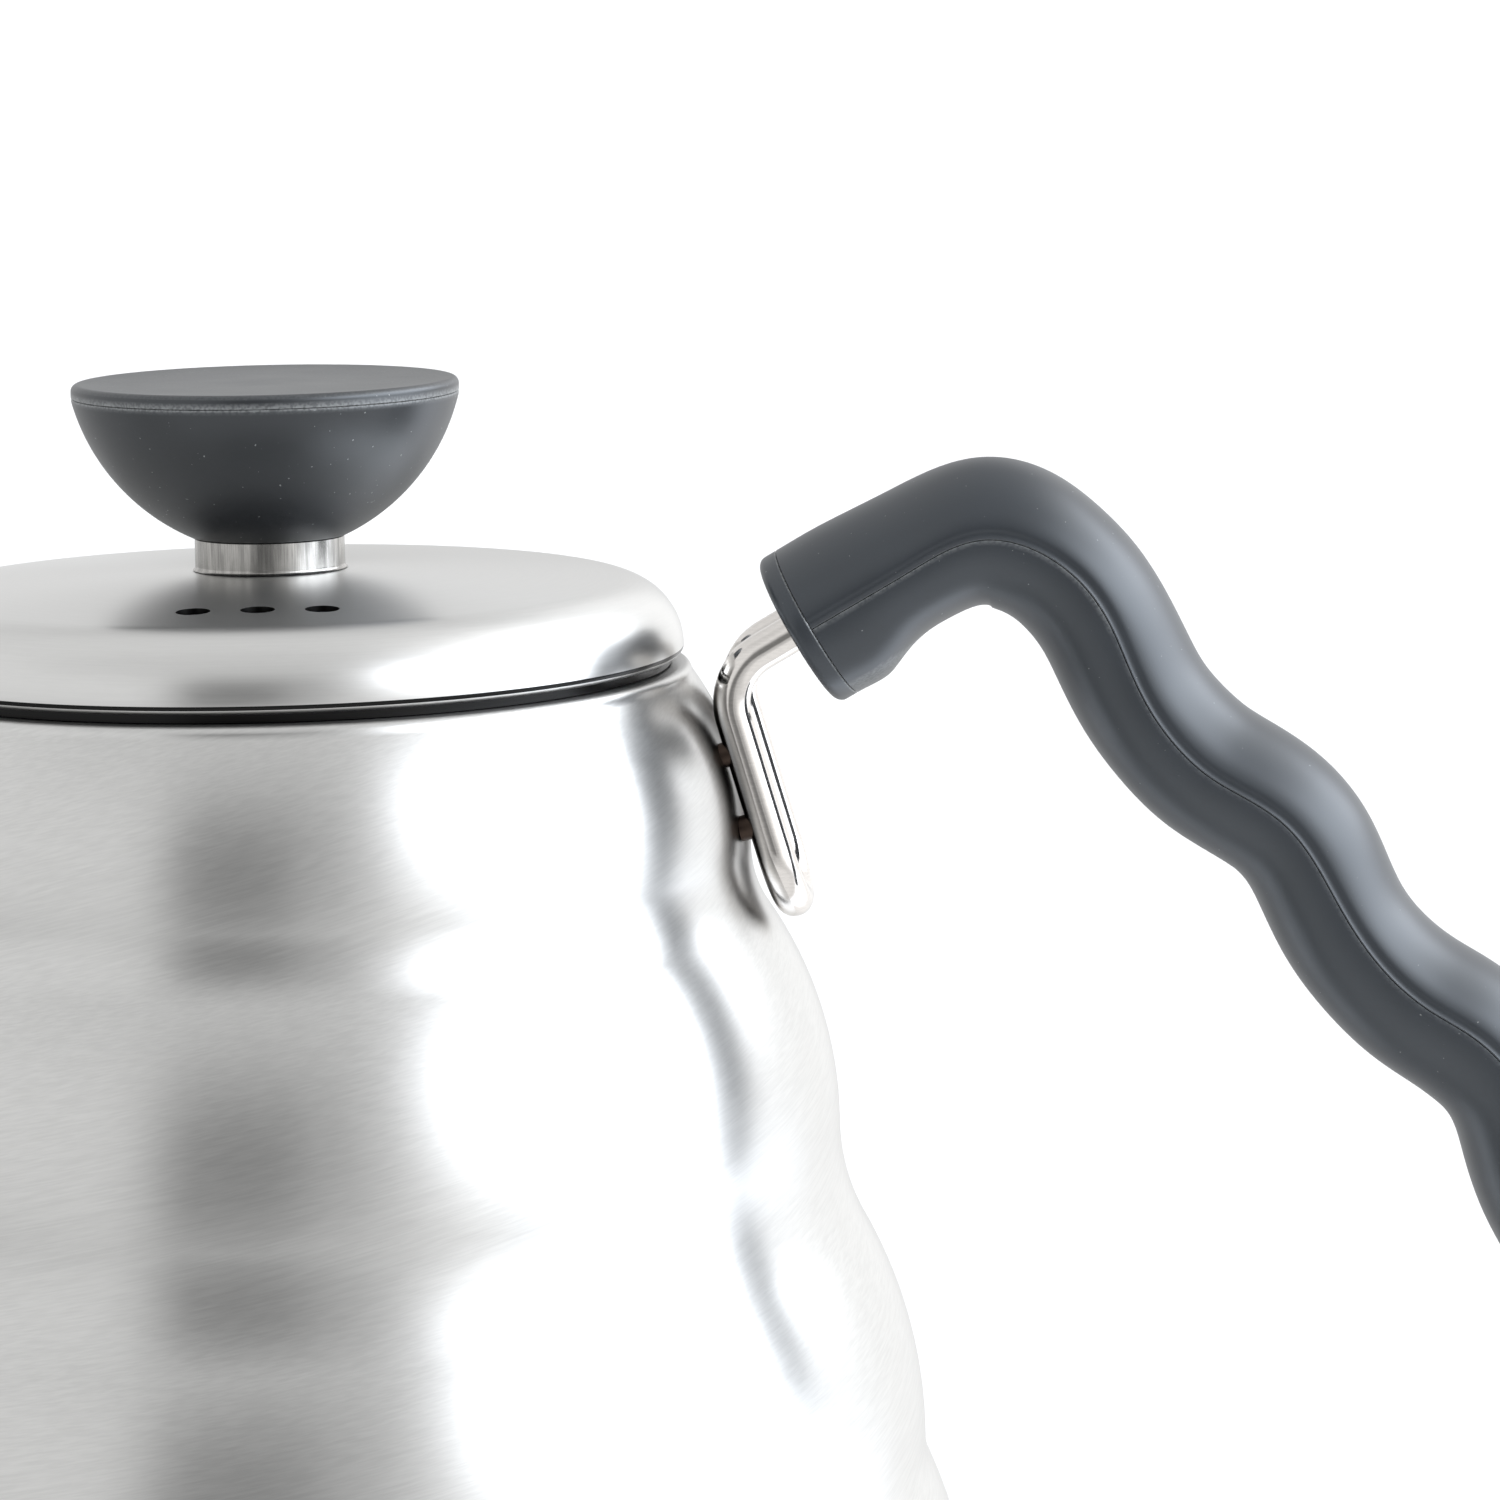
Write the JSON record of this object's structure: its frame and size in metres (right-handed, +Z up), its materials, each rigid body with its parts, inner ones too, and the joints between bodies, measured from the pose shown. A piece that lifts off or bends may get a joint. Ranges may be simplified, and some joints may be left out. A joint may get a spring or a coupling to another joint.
{
  "type": "gooseneck kettle",
  "caption": "Tiered steel kettle with a slim gooseneck spout, a lift-off vented lid with a bowl-shaped knob, and a wavy grip on a wire bracket, for slow, controlled pouring of hot water.",
  "frame": {"origin": "centre of the flat base, on the plane the kettle stands on", "axes": "+Z up through the lid's knob; +X towards the handle; -X towards the spout; the lid lifts along +Z"},
  "size_m": [0.2746, 0.1424, 0.147],
  "materials": {
    "body_steel": "fine brushed satin",
    "base_steel": "satin",
    "lid_steel": "satin to half polished",
    "collar_steel": "turned and brushed",
    "polished_steel": "mirror polished",
    "hardware_steel": "plain plated",
    "grip_plastic": "satin moulded phenolic, dark slate grey",
    "knob_plastic": "satin moulded phenolic, dark slate grey",
    "brass": "plain"
  },
  "bodies": {
    "kettle": {"body_shell": "body_steel", "base_plate": "base_steel", "spout_tube": "body_steel", "handle_bracket": "polished_steel", "bracket_welds": "polished_steel", "grip_upper": "grip_plastic", "grip_lower": "grip_plastic", "grip_cap": "grip_plastic", "clamp_plate": "hardware_steel", "grip_screws": "hardware_steel", "grip_inserts": "brass"},
    "lid": {"lid_shell": "lid_steel", "lid_skirt": "lid_steel", "flat_washer": "hardware_steel", "lock_washer": "hardware_steel", "knob_screw": "hardware_steel", "knob_collar": "collar_steel", "knob_insert": "brass", "knob_bowl": "knob_plastic", "knob_cap": "knob_plastic"}
  },
  "joints": [
    {"name": "lid_lift", "type": "slide", "parent": "kettle", "child": "lid", "axis": [0, 0, 1], "range_m": [0, 0.06]}
  ]
}
